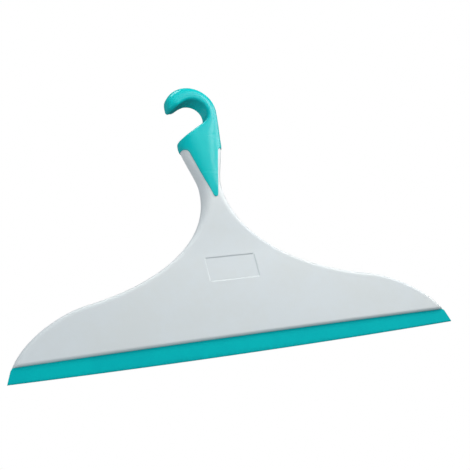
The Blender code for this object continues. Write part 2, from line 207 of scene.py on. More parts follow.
# Floor and surround
FLOOR_LEVEL = -0.9
FLOOR_SIZE = 40.0
FLOOR_GLOW = 0.42
FLOOR_ROUGHNESS = 0.8
FLOOR_DRIFT = (0.985, 0.985, 0.985)
FLOOR_FLOW_SCALE = 1.5
AMBIENT_COLOUR = (0.84, 0.93, 1.0, 1.0)
BACKDROP_COLOUR = (1.0, 1.0, 1.0, 1.0)
AMBIENT_RISE = (-0.4, 0.7)
AMBIENT_BELOW = 0.33
AMBIENT_ABOVE = 0.40
AMBIENT_GLOSS = 0.10

# Lights: name, place, target, size, watts, colour, and whether gloss mirrors them
MIDDLE = (0.0, 0.0, -0.09)
LIGHTS = (
    ("key", (0.12, -0.25, 0.17), (0.0, 0.0, -0.05), (0.30, 0.30), 0.74, (1.0, 0.99, 0.97), False),
    ("gloss", (0.42, -0.38, 0.32), (0.0, 0.0, -0.04), (0.28, 0.28), 1.3, (1.0, 0.99, 0.97), True),
    ("side", (0.75, -0.12, 0.20), (0.0, 0.0, -0.03), (0.45, 0.45), 2.0, (1.0, 1.0, 1.0), True),
    ("overhead", (-0.02, -0.06, 0.85), (0.0, 0.0, 0.0), (0.34, 0.20), 1.8, (1.0, 1.0, 1.0), True),
    ("fill", (-0.70, -0.90, -0.32), MIDDLE, (0.9, 0.9), 4.3, (0.93, 0.97, 1.0), False),
    ("rear", (0.5, 0.9, 0.5), MIDDLE, (0.8, 0.8), 5.5, (1.0, 1.0, 1.0), False),
    ("rear fill", (-0.7, 0.9, 0.3), MIDDLE, (0.8, 0.8), 4.0, (0.97, 0.98, 1.0), False))

# Surface effects: colour flow, mould pits, handling marks, edge tint (paler wear on the plastics, darker
# along the rubber's wiping edge) and wipe lines
GREY = (0.5, 0.5, 0.5, 1.0)
FLOW_SCALE = 22.0
FLOW_FINER = 9.0
FLOW_BROAD_SHARE = 0.7
FLOW_SPREAD = (0.36, 0.64)
PIT_RATIO = 0.45
MARKS_SCALE = 70.0
MARKS_TILT = 34.0
MARKS_STRETCH = (0.35, 1.0, 1.6)
MARKS_SPREAD = (0.42, 0.68)
MARKS_REST = 0.35
EDGE_TINT_SCALE = 420.0
EDGE_TINT_SPREAD = (0.35, 0.62)
EDGE_TINT_LEAST = 0.25
LINES_SCALE = 900.0
LINES_STRETCH = (0.02, 1.0, 1.0)
LINES_SHARE = 0.7
LINES_SPREAD = (0.4, 0.65)
LINES_WEIGHT = 1.4
SPECK_SCALE = 1500.0

# Finishes, and how each colour drifts; the plastics wear paler at their edges, and the rubber's colour is
# darker towards its wiping edge
BODY_FINISH = dict(roughness=0.42, spread=0.10, grain_scale=2400.0, grain_depth=0.000005, edge_tint=0.35,
                   pits=0.3, ior=1.49, specular=0.5)
COVER_FINISH = dict(BODY_FINISH, roughness=0.5, grain_depth=0.000008)
HOOK_FINISH = dict(roughness=0.26, spread=0.08, grain_scale=1500.0, grain_depth=0.000003, edge_tint=0.25,
                   pits=0.15, ior=1.5, specular=0.32)
# For the rubber, the edge amount sets how much darker its colour is towards the wiping edge
RUBBER_FINISH = dict(roughness=0.52, spread=0.12, grain_scale=1800.0, grain_depth=0.000008, edge_tint=0.6,
                     pits=0.2, ior=1.5, specular=0.08)
WHITE_DRIFT = (0.985, 0.975, 0.955)
WHITE_WORN_SHARE = 0.35
HOOK_DRIFT = (1.0, 0.93, 0.97)
HOOK_WORN_SHARE = 0.12
RUBBER_DRIFT = (1.0, 0.92, 0.95)
# Factors by which the rubber's colour is darker towards its wiping edge
RUBBER_DARKER_EDGE = (0.72, 0.72, 0.72)


class SqueegeeSizes(bpy.types.PropertyGroup):
    """Sizes that can be changed without disturbing the frame."""

    panel_width: FloatProperty(
        name="Panel Width", description="Width of the blank recessed panel's mouth",
        default=0.035, min=0.01, max=0.06, unit="LENGTH")
    panel_height: FloatProperty(
        name="Panel Height", description="Height of the blank recessed panel's mouth",
        default=0.0166, min=0.005, max=0.02, unit="LENGTH")
    panel_depth: FloatProperty(
        name="Panel Depth", description="Depth of the blank recessed panel",
        default=0.0005, min=0.0001, max=0.001, unit="LENGTH")
    panel_slope: FloatProperty(
        name="Panel Wall Width", description="Width of the sloping wall round the panel",
        default=0.0008, min=0.0001, max=0.002, unit="LENGTH")
    lip_top: FloatProperty(
        name="Lip Thickness", description="Thickness of the rubber lip under the jaw",
        default=0.0024, min=0.001, max=0.004, unit="LENGTH")
    lip_edge: FloatProperty(
        name="Lip Edge Thickness", description="Thickness of the rubber lip at its wiping edge",
        default=0.0012, min=0.0005, max=0.002, unit="LENGTH")


class SqueegeeColours(bpy.types.PropertyGroup):
    """Colours of the plastics, the rubber and the floor."""

    body: FloatVectorProperty(
        name="Body", description="White plastic of the fan and handle", subtype="COLOR",
        size=4, default=(0.725, 0.760, 0.772, 1.0), min=0.0, max=1.0)
    hook: FloatVectorProperty(
        name="Hook", description="Turquoise plastic of the hook and collar", subtype="COLOR",
        size=4, default=(0.0, 0.53, 0.52, 1.0), min=0.0, max=1.0)
    rubber: FloatVectorProperty(
        name="Rubber", description="Turquoise rubber of the lip", subtype="COLOR",
        size=4, default=(0.0, 0.53, 0.54, 1.0), min=0.0, max=1.0)
    floor: FloatVectorProperty(
        name="Floor", description="Pale floor below the squeegee", subtype="COLOR",
        size=4, default=(0.86, 0.87, 0.88, 1.0), min=0.0, max=1.0)


# ------------ outlines

def spot(x, height, y=0.0):
    """World point of a front-view position given by x and its height above the wiping edge."""
    return Vector((x, y, EDGE_LEVEL + height))


def curve(points, steps):
    """Points along a cubic curve given by two knots and two handles, without the first."""
    knot, leave, arrive, end = [spot(*point) for point in points]
    return interpolate_bezier(knot, leave, arrive, end, steps + 1)[1:]


def arc(centre, radius, start, end, steps):
    """Points swept round a centre from one angle to another, in degrees, both included."""
    bm = bmesh.new()
    first = bm.verts.new(spot(centre[0] + radius * math.cos(math.radians(start)),
                              centre[1] + radius * math.sin(math.radians(start))))
    bmesh.ops.spin(bm, geom=[first], cent=spot(*centre), axis=(0.0, -1.0, 0.0),
                   angle=math.radians(end - start), steps=steps)
    path = [vert.co.copy() for vert in bm.verts]
    bm.free()
    return path


def mirror_path(path):
    """The same path on the other side, run the other way."""
    return [Vector((-point.x, point.y, point.z)) for point in reversed(path)]


def moved_out(path, distance):
    """A right-hand path, bottom to top, moved square to itself away from the middle."""
    shifted = []
    for index, point in enumerate(path):
        run = path[min(len(path) - 1, index + 1)] - path[max(0, index - 1)]
        side = Vector((run.z, 0.0, -run.x)).normalized()
        shifted.append(point + side * distance)
    return shifted


def body_side():
    """Right-hand edge of the body, from the jaw's corner to the top of the handle."""
    return ([spot(*SHOULDER[0])] + curve(SHOULDER, SHOULDER_STEPS) + curve(FLANK, FLANK_STEPS)
            + curve(FLARE, FLARE_STEPS))


def long_outline():
    """Front view of the body before it is trimmed; it runs on below the jaw and above the handle."""
    side = [spot(*FOOT)] + body_side() + [spot(*HANDLE_END)]
    return side + mirror_path(side)


def grip_side():
    """Right-hand side of the grip below the hook."""
    low = EDGE_LEVEL + COLLAR_BASE
    return moved_out([point for point in body_side() if point.z > low], COLLAR_PROUD)


def hook_outside():
    """The hook's outer edge, from the collar's right shoulder over the crown to the tip."""
    crown = arc(CROWN_CENTRE, CROWN_RADIUS, *CROWN_ARC)
    return crown + curve(CHEEK, CHEEK_STEPS) + arc(TIP_CENTRE, TIP_RADIUS, *TIP_ARC)


def hook_inside():
    """The hook's inner edge, from the tip through the throat and down the saddle."""
    throat = arc(THROAT_CENTRE, THROAT_RADIUS, *THROAT_ARC)
    return curve(BEAK, BEAK_STEPS) + throat + [spot(*SADDLE_BOTTOM)]


def grip_outline():
    """Front view of the whole grip, the part under the tongues included."""
    side = grip_side()
    outline = side + hook_outside() + hook_inside() + [spot(*SADDLE_CORNER)] + mirror_path(side)
    return softened(outline, SADDLE_CORNER, SADDLE_CORNER_SOFTNESS)


def grip_outer_paths():
    """The grip's broadly rounded edges: its right side with the crown, and its left side."""
    side = grip_side()
    return side + hook_outside(), [spot(*SADDLE_CORNER)] + mirror_path(side)


def grip_inner_paths():
    """The grip's crisp edges: throat and saddle."""
    return (hook_inside() + [spot(*SADDLE_CORNER)],)


def tongue_edge():
    """Right-hand lower rim of the grip, from the tongue's tip to the side of the collar."""
    lean = math.degrees(math.atan2(TONGUE_TOP[0], TONGUE_TOP[1] - TONGUE_TIP_HEIGHT))
    tip_centre = (0.0, TONGUE_TIP_HEIGHT + TONGUE_TIP_RADIUS)
    tip = arc(tip_centre, TONGUE_TIP_RADIUS, -90.0, -lean, TONGUE_TIP_STEPS)
    window_centre = (TONGUE_TOP[0] + WINDOW_RADIUS, WINDOW_HEIGHT - WINDOW_RADIUS)
    window = arc(window_centre, WINDOW_RADIUS, 180.0 - lean, 90.0, WINDOW_STEPS)
    return tip + window


def skin_outline():
    """Front view of the turquoise skin: hook, collar and tongue."""
    seam = EDGE_LEVEL + WINDOW_HEIGHT
    above = [point for point in grip_outline() if point.z > seam]
    edge = tongue_edge()
    side = grip_side()
    low, high = [(a, b) for a, b in zip(side, side[1:]) if a.z <= seam < b.z][0]
    corner = low.lerp(high, (seam - low.z) / (high.z - low.z))
    right = edge + [corner]
    return right[1:] + above + mirror_path(right)[:-1] + [edge[0]]


def softened(outline, corner, softness):
    """An outline with one of its corners rounded by the bevel operator."""
    bm = bmesh.new()
    face = flat_face(bm, outline)
    sharp = min(bm.verts, key=lambda vert: (vert.co - spot(*corner)).length)
    bevel(bm, [sharp], softness, CORNER_SEGMENTS, "VERTICES")
    path = [vert.co.copy() for vert in list(bm.faces)[0].verts]
    bm.free()
    return path


# ------------ mesh tools

def flat_face(bm, outline):
    """One flat face on an outline, facing the front."""
    face = bm.faces.new([bm.verts.new(point) for point in outline])
    face.normal_update()
    if face.normal.y > 0.0:
        face.normal_flip()
    return face


def verts_in(geometry):
    """The vertices among an operator's results."""
    return [item for item in geometry if isinstance(item, bmesh.types.BMVert)]


def bevel(bm, geometry, width, segments, affect="EDGES"):
    """Round edges or corners by a width."""
    bmesh.ops.bevel(bm, geom=geometry, offset=width, offset_type="OFFSET", affect=affect,
                    segments=segments, profile=0.5, material=-1)


def cut_across(bm, place, normal, **sides):
    """Cut a whole mesh with a plane; sides says what to clear."""
    bmesh.ops.bisect_plane(bm, geom=list(bm.verts) + list(bm.edges) + list(bm.faces), plane_co=place,
                           plane_no=normal, **sides)


def fence(*paths):
    """Upright walls along open paths, which distances in front view are measured to."""
    bm = bmesh.new()
    for path in paths:
        verts = [bm.verts.new(point) for point in path]
        for pair in zip(verts, verts[1:]):
            bm.edges.new(pair)
    bmesh.ops.translate(bm, verts=bm.verts, vec=(0.0, -BEYOND, 0.0))
    walls = bmesh.ops.extrude_edge_only(bm, edges=list(bm.edges))["geom"]
    bmesh.ops.translate(bm, verts=verts_in(walls), vec=(0.0, 2.0 * BEYOND, 0.0))
    tree = BVHTree.FromBMesh(bm)
    bm.free()
    return tree


def ring(path):
    """A path closed on itself."""
    return path + path[:1]


def distance_to(tree, point):
    """Front-view distance from a point to a fence."""
    return tree.find_nearest(Vector((point.x, 0.0, point.z)))[3]


def inset(bm, face, width):
    """Draw a face's edge in by a width and leave a band round it."""
    bmesh.ops.inset_region(bm, faces=[face], thickness=width, use_even_offset=True, use_boundary=True)


def score(bm, places, axis):
    """Cut straight across a mesh at places along an axis."""
    for place in places:
        cut_across(bm, Vector(axis) * place, axis)


def steps_between(low, high, pitch):
    """Evenly pitched places from low to high."""
    return [low + pitch * index for index in range(int((high - low) / pitch) + 1)]


def banded_face(outline, rings, rows, columns):
    """A flat face on an outline, banded by rings inside its edge and cut by rows and columns."""
    bm = bmesh.new()
    face = flat_face(bm, outline)
    for done, target in zip([0.0] + rings, rings):
        inset(bm, face, target - done)
    score(bm, rows, UP)
    score(bm, columns, ACROSS)
    bmesh.ops.remove_doubles(bm, verts=bm.verts, dist=TWIN_DISTANCE)
    return bm


def trim(bm, low, high):
    """Cut off what lies below one height and above another."""
    cut_across(bm, spot(0.0, low), UP, clear_inner=True)
    cut_across(bm, spot(0.0, high), UP, clear_outer=True)


def stand_off_both_ways(bm, half_depth):
    """Turn a flat banded mesh into a closed solid; half_depth gives how far each point stands off."""
    rear = bmesh.ops.duplicate(bm, geom=list(bm.faces))["geom"]
    bmesh.ops.reverse_faces(bm, faces=[item for item in rear if isinstance(item, bmesh.types.BMFace)])
    rear_verts = set(verts_in(rear))
    for vert in bm.verts:
        stand_off = half_depth(vert.co)
        vert.co.y = stand_off if vert in rear_verts else -stand_off
    bmesh.ops.bridge_loops(bm, edges=[edge for edge in bm.edges if edge.is_boundary])
    bmesh.ops.recalc_face_normals(bm, faces=bm.faces)
    return bm


def body_solid(half_depth):
    """The body's closed solid, bowed slightly along the jaw."""
    rows = [EDGE_LEVEL + JAW_HEIGHT + rise for rise in JAW_ROWS]
    rows += [EDGE_LEVEL + row for row in steps_between(SWELL_START, FLARE[-1][1], BODY_ROW)]
    columns = steps_between(-FAN_HALF_WIDTH, FAN_HALF_WIDTH, JAW_COLUMN)
    columns += steps_between(-CROWN_RADIUS, CROWN_RADIUS, HANDLE_COLUMN)
    bm = banded_face(long_outline(), BODY_RINGS, rows, columns)
    trim(bm, JAW_HEIGHT, FLARE[-1][1])
    for vert in bm.verts:
        fade = 1.0 - (vert.co.z - EDGE_LEVEL - JAW_HEIGHT) / JAW_BOW_REACH
        if fade > 0.0:
            vert.co.z += fade * JAW_BOW * (1.0 - (vert.co.x / FAN_HALF_WIDTH) ** 2)
    return stand_off_both_ways(bm, half_depth)


def block(outline, front, back):
    """A straight solid on a front-view outline from y = front to y = back."""
    bm = bmesh.new()
    face = flat_face(bm, outline)
    bmesh.ops.translate(bm, verts=bm.verts, vec=(0.0, front, 0.0))
    raised = bmesh.ops.extrude_face_region(bm, geom=[face])["geom"]
    bmesh.ops.translate(bm, verts=verts_in(raised), vec=(0.0, back - front, 0.0))
    bmesh.ops.recalc_face_normals(bm, faces=bm.faces)
    return bm


def box(x0, x1, y0, y1, low, high):
    """An upright box between two heights."""
    return block([spot(x0, low), spot(x1, low), spot(x1, high), spot(x0, high)], y0, y1)


def disc(place, radius, front, back, sides):
    """A round solid along Y at a front-view place."""
    return block(arc(place, radius, 0.0, 360.0, sides)[:-1], front, back)


def working_shape(name, bm):
    """Put a mesh in the scene as an object."""
    mesh = bpy.data.meshes.new(name)
    bm.to_mesh(mesh)
    bm.free()
    shape = bpy.data.objects.new(name, mesh)
    bpy.context.scene.collection.objects.link(shape)
    return shape


def settle(shape):
    """Make a shape's modifiers part of its mesh."""
    graph = bpy.context.evaluated_depsgraph_get()
    mesh = bpy.data.meshes.new_from_object(shape.evaluated_get(graph), depsgraph=graph)
    old = shape.data
    shape.modifiers.clear()
    shape.data = mesh
    bpy.data.meshes.remove(old)


def combine(shape, bm, operation="DIFFERENCE"):
    """Cut another solid out of a shape, or join it on."""
    other = working_shape("tool", bm)
    modifier = shape.modifiers.new("combine", "BOOLEAN")
    modifier.operation = operation
    modifier.solver = "MANIFOLD"
    modifier.object = other
    settle(shape)
    bpy.data.objects.remove(other)
    if not shape.data.polygons:
        raise RuntimeError(f"{shape.name} was lost in a cut")


def finish_piece(shape, material, edge_closeness, sharp_angle=SHARP_ANGLE):
    """Shade a piece, mark how near each point is to the edge whose colour changes (wear on the plastics, a
    darker band along the rubber's wiping edge), and give it its material.
    """
    name = shape.name
    bm = bmesh.new()
    bm.from_mesh(shape.data)
    bmesh.ops.dissolve_degenerate(bm, dist=SLIVER_SIZE, edges=bm.edges)
    bm.to_mesh(shape.data)
    bm.free()
    shape.data.shade_smooth()
    shape.data.set_sharp_from_angle(angle=math.radians(sharp_angle))
    weighted = shape.modifiers.new("even shading", "WEIGHTED_NORMAL")
    weighted.mode = "FACE_AREA"
    weighted.keep_sharp = True
    settle(shape)
    mesh = shape.data
    mesh.name = name
    mark = mesh.attributes.new("edge", "FLOAT", "POINT")
    for vert in mesh.vertices:
        mark.data[vert.index].value = edge_closeness(vert.co)
    mesh.materials.clear()
    mesh.materials.append(material)
    return shape


# ------------ depth of the pieces

def ease(value, start, end):
    """0 before start, 1 after end, and a smooth rise between."""
    t = min(1.0, max(0.0, (value - start) / (end - start)))
    return t * t * (3.0 - 2.0 * t)


def quarter_round(inward):
    """Rise of a quarter round, 0 at its edge and 1 from its full width inwards."""
    return math.sqrt(1.0 - (1.0 - min(1.0, max(0.0, inward))) ** 2)


def lost_to_edge(distance, radius):
    """Depth that a round edge of a radius takes off at a distance from it."""
    return radius * (1.0 - quarter_round(distance / radius))


def swell(height):
    """How far the body has grown from the thin fan to the round handle."""
    return ease(height, SWELL_START, SWELL_END)


def body_half_depth(height):
    """Half depth of the body at a height."""
    return FAN_HALF_DEPTH + (HANDLE_HALF_DEPTH - FAN_HALF_DEPTH) * swell(height)


def body_rounding(height):
    """Width of the body's rounded edge at a height; it widens again towards the hook."""
    neck = FAN_ROUNDING + (HANDLE_ROUNDING - FAN_ROUNDING) * swell(height)
    return neck + WIDE_ROUNDING * ease(height, SWELL_END, WIDE_END)


def rolled(depth, rounding, inward, land=EDGE_LAND):
    """Stand-off of a surface with an elliptical edge, at a distance in from that edge."""
    return land + (depth - land) * quarter_round(inward / rounding)


def jaw_softening(point):
    """How much the jaw's rounded lower edge takes off the stand-off at a point."""
    bow = JAW_BOW * (1.0 - (point.x / FAN_HALF_WIDTH) ** 2)
    above_jaw = point.z - EDGE_LEVEL - JAW_HEIGHT - bow
    return lost_to_edge(above_jaw, JAW_SOFTNESS)


def body_stand_off(tree):
    """Stand-off of the body's front and back from its middle plane."""
    def stand_off(point):
        height = point.z - EDGE_LEVEL
        edge = rolled(body_half_depth(height), body_rounding(height), distance_to(tree, point))
        return max(EDGE_LAND / 2.0, edge - jaw_softening(point))
    return stand_off


def body_depth_grown(tree, growth):
    """Stand-off of the body without its soft jaw, grown by a clearance."""
    def stand_off(point):
        height = point.z - EDGE_LEVEL
        return growth + rolled(body_half_depth(height), body_rounding(height),
                               max(0.0, distance_to(tree, point) - growth))
    return stand_off


def grip_depth(height):
    """Half depth of the grip: proud of the handle, then the hook's own."""
    blend = ease(height, HOOK_BLEND_START, HOOK_BLEND_END)
    collar = body_half_depth(height) + COLLAR_PROUD
    return collar + (HOOK_HALF_DEPTH - collar) * blend


def grip_rounding(height):
    """Width of the grip's rounded edge at a height."""
    blend = ease(height, HOOK_BLEND_START, HOOK_BLEND_END)
    collar = body_rounding(height) + COLLAR_PROUD
    return collar + (HOOK_ROUNDING - collar) * blend


def skin_stand_off(sides, inside, seam):
    """Stand-off of the skin: broad outer edges, a crisp throat and saddle, and a soft seam."""
    def stand_off(point):
        height = point.z - EDGE_LEVEL
        land = EDGE_LAND + (HOOK_LAND - EDGE_LAND) * ease(height, HOOK_BLEND_START, HOOK_BLEND_END)
        edge = rolled(grip_depth(height), grip_rounding(height), distance_to(sides, point), land)
        crisp = lost_to_edge(distance_to(inside, point), HOOK_INNER_ROUNDING)
        soft = lost_to_edge(distance_to(seam, point), SKIN_SEAM_SOFTNESS)
        return edge - min(crisp + soft, edge * CRISP_SHARE)
    return stand_off


def evened(stand_off, rim):
    """A stand-off averaged over a small disc round each point, which softens creases away from a rim."""
    turns = [math.radians(360.0 * step / EVEN_DIRECTIONS) for step in range(EVEN_DIRECTIONS)]
    offsets = [Vector((math.cos(turn), 0.0, math.sin(turn))) * share
               for turn in turns for share in EVEN_SHARES]

    def average(point):
        reach = min(EVEN_REACH, EVEN_SHARE * distance_to(rim, point))
        samples = [stand_off(point)] + [stand_off(point + offset * reach) for offset in offsets]
        return sum(samples) / len(samples)
    return average


# ------------ materials

def join(tree, source, target):
    """Link an output socket to an input socket."""
    tree.links.new(source, target)


def socket_kind(label):
    """Socket type that goes with a label's last word."""
    kinds = {"Vector": "NodeSocketVector", "Colour": "NodeSocketColor"}
    return kinds.get(label.split()[-1], "NodeSocketFloat")


def new_group(name, defaults, outputs):
    """A shader node group with defaulted inputs and named outputs; returns it with its end sockets."""
    group = bpy.data.node_groups.new(name, "ShaderNodeTree")
    for label, default in defaults.items():
        socket = group.interface.new_socket(name=label, in_out="INPUT", socket_type=socket_kind(label))
        if default is not None:
            socket.default_value = default
    for label in outputs:
        group.interface.new_socket(name=label, in_out="OUTPUT", socket_type=socket_kind(label))
    given = group.nodes.new("NodeGroupInput").outputs
    return group, given, group.nodes.new("NodeGroupOutput").inputs


def noise(tree, vector, scale, detail=4.0, roughness=0.55):
    """A noise texture at a scale that is a number or a socket; returns its value socket."""
    node = tree.nodes.new("ShaderNodeTexNoise")
    node.inputs["Detail"].default_value = detail
    node.inputs["Roughness"].default_value = roughness
    join(tree, vector, node.inputs["Vector"])
    if isinstance(scale, float):
        node.inputs["Scale"].default_value = scale
    else:
        join(tree, scale, node.inputs["Scale"])
    return node.outputs["Fac"]


def times(tree, first, second, clamp=False):
    """Product of two sockets or numbers."""
    return math_node(tree, "MULTIPLY", first, second, clamp)


def plus(tree, first, second, clamp=False):
    """Sum of two sockets or numbers."""
    return math_node(tree, "ADD", first, second, clamp)


def math_node(tree, operation, first, second, clamp=False):
    """One step of arithmetic on sockets or numbers; returns its value socket."""
    node = tree.nodes.new("ShaderNodeMath")
    node.operation = operation
    node.use_clamp = clamp
    for socket, value in zip(node.inputs, (first, second)):
        if isinstance(value, float):
            socket.default_value = value
        else:
            join(tree, value, socket)
    return node.outputs["Value"]


def mix_colour(tree, factor, first, second, blend="MIX"):
    """Mix two colour sockets by a factor; returns the result socket."""
    node = tree.nodes.new("ShaderNodeMix")
    node.data_type = "RGBA"
    node.blend_type = blend
    join(tree, factor, node.inputs["Factor"])
    for label, value in (("A", first), ("B", second)):
        socket = [item for item in node.inputs if item.name == label and item.type == "RGBA"][0]
        if isinstance(value, tuple):
            socket.default_value = value
        else:
            join(tree, value, socket)
    return [item for item in node.outputs if item.type == "RGBA"][0]


def map_range(tree, value, low, high, to_low, to_high):
    """Map a value smoothly from one range to another; returns the result socket."""
    node = tree.nodes.new("ShaderNodeMapRange")
    node.interpolation_type = "SMOOTHSTEP"
    join(tree, value, node.inputs["Value"])
    for label, number in (("From Min", low), ("From Max", high), ("To Min", to_low), ("To Max", to_high)):
        if isinstance(number, float):
            node.inputs[label].default_value = number
        else:
            join(tree, number, node.inputs[label])
    return node.outputs["Result"]


def build_colour_flow():
    """Group: slow, cloudy colour variation as in coloured plastic that has flowed into a mould."""
    group, given, result = new_group("Colour Flow", {
        "Vector": None, "Colour": GREY, "Drift Colour": GREY, "Amount": 0.5, "Scale": FLOW_SCALE}, ["Colour"])
    broad = noise(group, given["Vector"], given["Scale"], detail=3.0)
    finer_scale = times(group, given["Scale"], FLOW_FINER)
    finer = noise(group, given["Vector"], finer_scale, detail=5.0, roughness=0.6)
    blended = plus(group, times(group, broad, FLOW_BROAD_SHARE), times(group, finer, 1.0 - FLOW_BROAD_SHARE))
    spread = map_range(group, blended, *FLOW_SPREAD, 0.0, given["Amount"])
    colour = mix_colour(group, spread, given["Colour"], given["Drift Colour"])
    join(group, colour, result["Colour"])
    return group


def build_mould_grain():
    """Group: fine spark-eroded grain of a mould, with a few finer pits, as a height."""
    group, given, result = new_group("Mould Grain", {
        "Vector": None, "Scale": 2200.0, "Pits": 0.3}, ["Height"])
    grain = noise(group, given["Vector"], given["Scale"], detail=3.0, roughness=0.6)
    cells = group.nodes.new("ShaderNodeTexVoronoi")
    cells.feature = "SMOOTH_F1"
    join(group, given["Vector"], cells.inputs["Vector"])
    join(group, times(group, given["Scale"], PIT_RATIO), cells.inputs["Scale"])
    pits = times(group, cells.outputs["Distance"], given["Pits"])
    join(group, math_node(group, "SUBTRACT", grain, pits), result["Height"])
    return group


def build_handling():
    """Group: faint smears and scuffs from hands and cloths, as a change in roughness."""
    group, given, result = new_group("Handling Marks", {
        "Vector": None, "Roughness": 0.4, "Spread": 0.1, "Scale": MARKS_SCALE}, ["Roughness", "Mask"])
    along = stretched(group, given["Vector"], MARKS_STRETCH, MARKS_TILT)
    smears = noise(group, along, given["Scale"], detail=5.0, roughness=0.62)
    mask = map_range(group, smears, *MARKS_SPREAD, 0.0, 1.0)
    shift = times(group, math_node(group, "SUBTRACT", mask, MARKS_REST), given["Spread"])
    join(group, plus(group, given["Roughness"], shift, True), result["Roughness"])
    join(group, mask, result["Mask"])
    return group


def stretched(tree, vector, stretch, tilt=0.0):
    """A vector scaled along each axis and turned about Y, so that a pattern runs in one direction."""
    node = tree.nodes.new("ShaderNodeMapping")
    node.inputs["Rotation"].default_value = (0.0, math.radians(tilt), 0.0)
    node.inputs["Scale"].default_value = stretch
    join(tree, vector, node.inputs["Vector"])
    return node.outputs["Vector"]


def build_edge_tint():
    """Group: edges mixed towards another colour, broken up by noise: a little paler with wear on the
    plastics, darker along the rubber's wiping edge.
    """
    group, given, result = new_group("Edge Wear", {
        "Vector": None, "Edge": 0.0, "Colour": GREY, "Worn Colour": GREY, "Amount": 0.4,
        "Scale": EDGE_TINT_SCALE}, ["Colour", "Mask"])
    patches = noise(group, given["Vector"], given["Scale"], detail=6.0, roughness=0.65)
    breakup = map_range(group, patches, *EDGE_TINT_SPREAD, EDGE_TINT_LEAST, 1.0)
    worn = times(group, times(group, given["Edge"], breakup), given["Amount"], True)
    colour = mix_colour(group, worn, given["Colour"], given["Worn Colour"])
    join(group, colour, result["Colour"])
    join(group, worn, result["Mask"])
    return group


def build_wipe_lines():
    """Group: fine lines along the rubber, as it leaves its die, as a height and a mask."""
    group, given, result = new_group("Wipe Lines", {
        "Vector": None, "Scale": LINES_SCALE}, ["Height", "Mask"])
    along = stretched(group, given["Vector"], LINES_STRETCH)
    lines = noise(group, along, given["Scale"], detail=4.0, roughness=0.6)
    specks = noise(group, given["Vector"], SPECK_SCALE, detail=2.0)
    height = plus(group, times(group, lines, LINES_SHARE), times(group, specks, 1.0 - LINES_SHARE))
    join(group, height, result["Height"])
    join(group, map_range(group, lines, *LINES_SPREAD, 0.0, 1.0), result["Mask"])
    return group


def place_group(tree, name, build, **values):
    """Place a shared effect in a material with its own values; it is built when it is first wanted."""
    node = tree.nodes.new("ShaderNodeGroup")
    node.node_tree = bpy.data.node_groups.get(name) or build()
    for label, value in values.items():
        socket = node.inputs[label.replace("_", " ")]
        if isinstance(value, bpy.types.NodeSocket):
            join(tree, value, socket)
        else:
            socket.default_value = value
    return node


def finished_surface(name, colour, drift, worn, roughness, spread, grain_scale, grain_depth, edge_tint, pits,
                     ior, specular, lines=False):
    """A plastic or rubber with colour flow, handling marks, edges in another colour (paler with wear on the
    plastics, darker along the rubber's wiping edge) and a moulded surface.
    """
    material = bpy.data.materials.new(name)
    material.use_nodes = True
    tree = material.node_tree
    shader = tree.nodes["Principled BSDF"]
    shader.inputs["IOR"].default_value = ior
    shader.inputs["Specular IOR Level"].default_value = specular
    place = tree.nodes.new("ShaderNodeTexCoord").outputs["Object"]
    edge = tree.nodes.new("ShaderNodeAttribute")
    edge.attribute_name = "edge"
    flow = place_group(tree, "Colour Flow", build_colour_flow, Vector=place,
                       Colour=tuple(colour), Drift_Colour=drift, Amount=1.0, Scale=FLOW_SCALE)
    edge_tint_node = place_group(tree, "Edge Wear", build_edge_tint, Vector=place,
                            Edge=edge.outputs["Fac"], Colour=flow.outputs["Colour"],
                            Worn_Colour=worn, Amount=edge_tint, Scale=EDGE_TINT_SCALE)
    marks = place_group(tree, "Handling Marks", build_handling, Vector=place,
                        Roughness=roughness, Spread=spread, Scale=MARKS_SCALE)
    grain = place_group(tree, "Mould Grain", build_mould_grain, Vector=place,
                        Scale=grain_scale, Pits=pits)
    bump = tree.nodes.new("ShaderNodeBump")
    bump.inputs["Strength"].default_value = 1.0
    bump.inputs["Distance"].default_value = grain_depth
    join(tree, edge_tint_node.outputs["Colour"], shader.inputs["Base Color"])
    join(tree, marks.outputs["Roughness"], shader.inputs["Roughness"])
    height = grain.outputs["Height"]
    if lines:
        wiped = place_group(tree, "Wipe Lines", build_wipe_lines, Vector=place, Scale=LINES_SCALE)
        height = plus(tree, height, times(tree, wiped.outputs["Height"], LINES_WEIGHT))
    join(tree, height, bump.inputs["Height"])
    join(tree, bump.outputs["Normal"], shader.inputs["Normal"])
    return material


def scaled(colour, red, green, blue):
    """A colour with each channel multiplied by its factor."""
    return colour[0] * red, colour[1] * green, colour[2] * blue, 1.0


def toward_white(colour, share):
    """A colour moved part of the way to white."""
    return tuple(channel + (1.0 - channel) * share for channel in tuple(colour)[:3]) + (1.0,)


def body_plastic(name, colour, finish):
    """White satin plastic."""
    return finished_surface(name, colour, scaled(colour, *WHITE_DRIFT),
                            toward_white(colour, WHITE_WORN_SHARE), **finish)


def hook_plastic(colour):
    """Turquoise plastic with a soft gloss."""
    return finished_surface("turquoise_gloss", colour, scaled(colour, *HOOK_DRIFT),
                            toward_white(colour, HOOK_WORN_SHARE), **HOOK_FINISH)


def lip_rubber(colour):
    """Matt turquoise rubber with fine lines along it, its colour darker towards the wiping edge."""
    return finished_surface("turquoise_rubber_lip", colour, scaled(colour, *RUBBER_DRIFT),
                            scaled(colour, *RUBBER_DARKER_EDGE), lines=True, **RUBBER_FINISH)


# ------------ pieces

